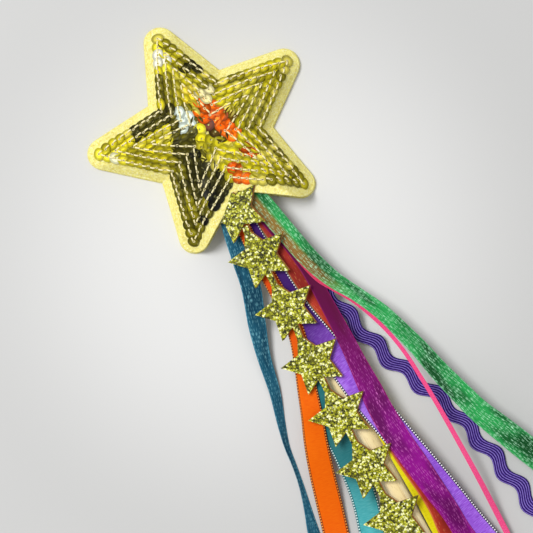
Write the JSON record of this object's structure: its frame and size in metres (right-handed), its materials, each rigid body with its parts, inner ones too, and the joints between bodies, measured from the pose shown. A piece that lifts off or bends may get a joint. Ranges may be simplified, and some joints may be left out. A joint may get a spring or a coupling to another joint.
{
  "type": "toy magic wand",
  "caption": "Toy magic wand: puffed felt star covered in sequins on a round wooden stick, with loose coloured ribbons, ric-rac and a glitter star trim hanging from the star.",
  "frame": {"origin": "middle of the star, on the outside of the flat back felt, which lies on the table", "axes": "+Y along the stick to the star's top point, +Z out of the star's front, +X to the right seen from the front"},
  "size_m": [0.1191, 0.3306, 0.0173],
  "materials": {
    "wood": "plain natural wood, straight fine grain",
    "felt": "pale yellow felt",
    "wadding": "white polyester wadding",
    "steel": "plain steel",
    "sequin": "mirror-bright olive-gold film",
    "thread": "cream cotton thread",
    "glitter": "gold glitter",
    "backing": "brown card",
    "teal": "sheer teal organza",
    "orange": "orange satin with stitched edges",
    "turquoise": "turquoise satin with stitched edges",
    "lavender": "lavender satin with dotted picot edges",
    "magenta": "metallic magenta organza",
    "copper": "sheer copper organza",
    "yellow": "yellow satin",
    "pink": "pink satin",
    "green": "metallic green organza",
    "purple": "dark purple woven ric-rac"
  },
  "bodies": {
    "wand": {"dowel": "wood", "back_felt": "felt", "front_felt": "felt", "stuffing": "wadding", "ribbon_tack": "steel", "sequins_row_1": "sequin", "sequins_row_2": "sequin", "sequins_row_3": "sequin", "sequins_row_4": "sequin", "stitches_row_1": "thread", "stitches_row_2": "thread", "stitches_row_3": "thread", "stitches_row_4": "thread", "trim_top_star": "glitter", "trim_top_backing": "backing"},
    "teal_ribbon": {"teal_ribbon": "teal"},
    "turquoise_ribbon": {"turquoise_ribbon": "turquoise"},
    "orange_ribbon": {"orange_ribbon": "orange"},
    "ric_rac": {"ric_rac": "purple"},
    "yellow_ribbon": {"yellow_ribbon": "yellow"},
    "copper_ribbon": {"copper_ribbon": "copper"},
    "lavender_ribbon": {"lavender_ribbon": "lavender"},
    "magenta_ribbon": {"magenta_ribbon": "magenta"},
    "pink_ribbon": {"pink_ribbon": "pink"},
    "green_ribbon": {"green_ribbon": "green"},
    "star_trim": {"trim_stars": "glitter", "trim_backing": "backing"}
  },
  "joints": [
    {"name": "teal_swing", "type": "hinge", "parent": "wand", "child": "teal_ribbon", "pos_m": [-0.0012, -0.01, 0.0093], "axis": [0, 0, 1], "range_deg": [-8, 0]},
    {"name": "turquoise_swing", "type": "hinge", "parent": "wand", "child": "turquoise_ribbon", "pos_m": [-0.0012, -0.01, 0.0093], "axis": [0, 0, 1], "range_deg": [-8, 0]},
    {"name": "orange_swing", "type": "hinge", "parent": "wand", "child": "orange_ribbon", "pos_m": [-0.0012, -0.01, 0.0093], "axis": [0, 0, 1], "range_deg": [-8, 0]},
    {"name": "ric_rac_swing", "type": "hinge", "parent": "wand", "child": "ric_rac", "pos_m": [-0.0012, -0.01, 0.0093], "axis": [0, 0, 1], "range_deg": [0, 8]},
    {"name": "yellow_swing", "type": "hinge", "parent": "wand", "child": "yellow_ribbon", "pos_m": [-0.0012, -0.01, 0.0093], "axis": [0, 0, 1], "range_deg": [0, 8]},
    {"name": "copper_swing", "type": "hinge", "parent": "wand", "child": "copper_ribbon", "pos_m": [-0.0012, -0.01, 0.0093], "axis": [0, 0, 1], "range_deg": [0, 8]},
    {"name": "lavender_swing", "type": "hinge", "parent": "wand", "child": "lavender_ribbon", "pos_m": [-0.0012, -0.01, 0.0093], "axis": [0, 0, 1], "range_deg": [0, 8]},
    {"name": "magenta_swing", "type": "hinge", "parent": "wand", "child": "magenta_ribbon", "pos_m": [-0.0012, -0.01, 0.0093], "axis": [0, 0, 1], "range_deg": [0, 8]},
    {"name": "pink_swing", "type": "hinge", "parent": "wand", "child": "pink_ribbon", "pos_m": [-0.0012, -0.01, 0.0093], "axis": [0, 0, 1], "range_deg": [0, 8]},
    {"name": "green_swing", "type": "hinge", "parent": "wand", "child": "green_ribbon", "pos_m": [-0.0012, -0.01, 0.0093], "axis": [0, 0, 1], "range_deg": [0, 8]},
    {"name": "trim_swing", "type": "hinge", "parent": "wand", "child": "star_trim", "pos_m": [-0.0043, -0.0382, 0.0155], "axis": [0, 0, 1], "range_deg": [-5, 5]}
  ]
}
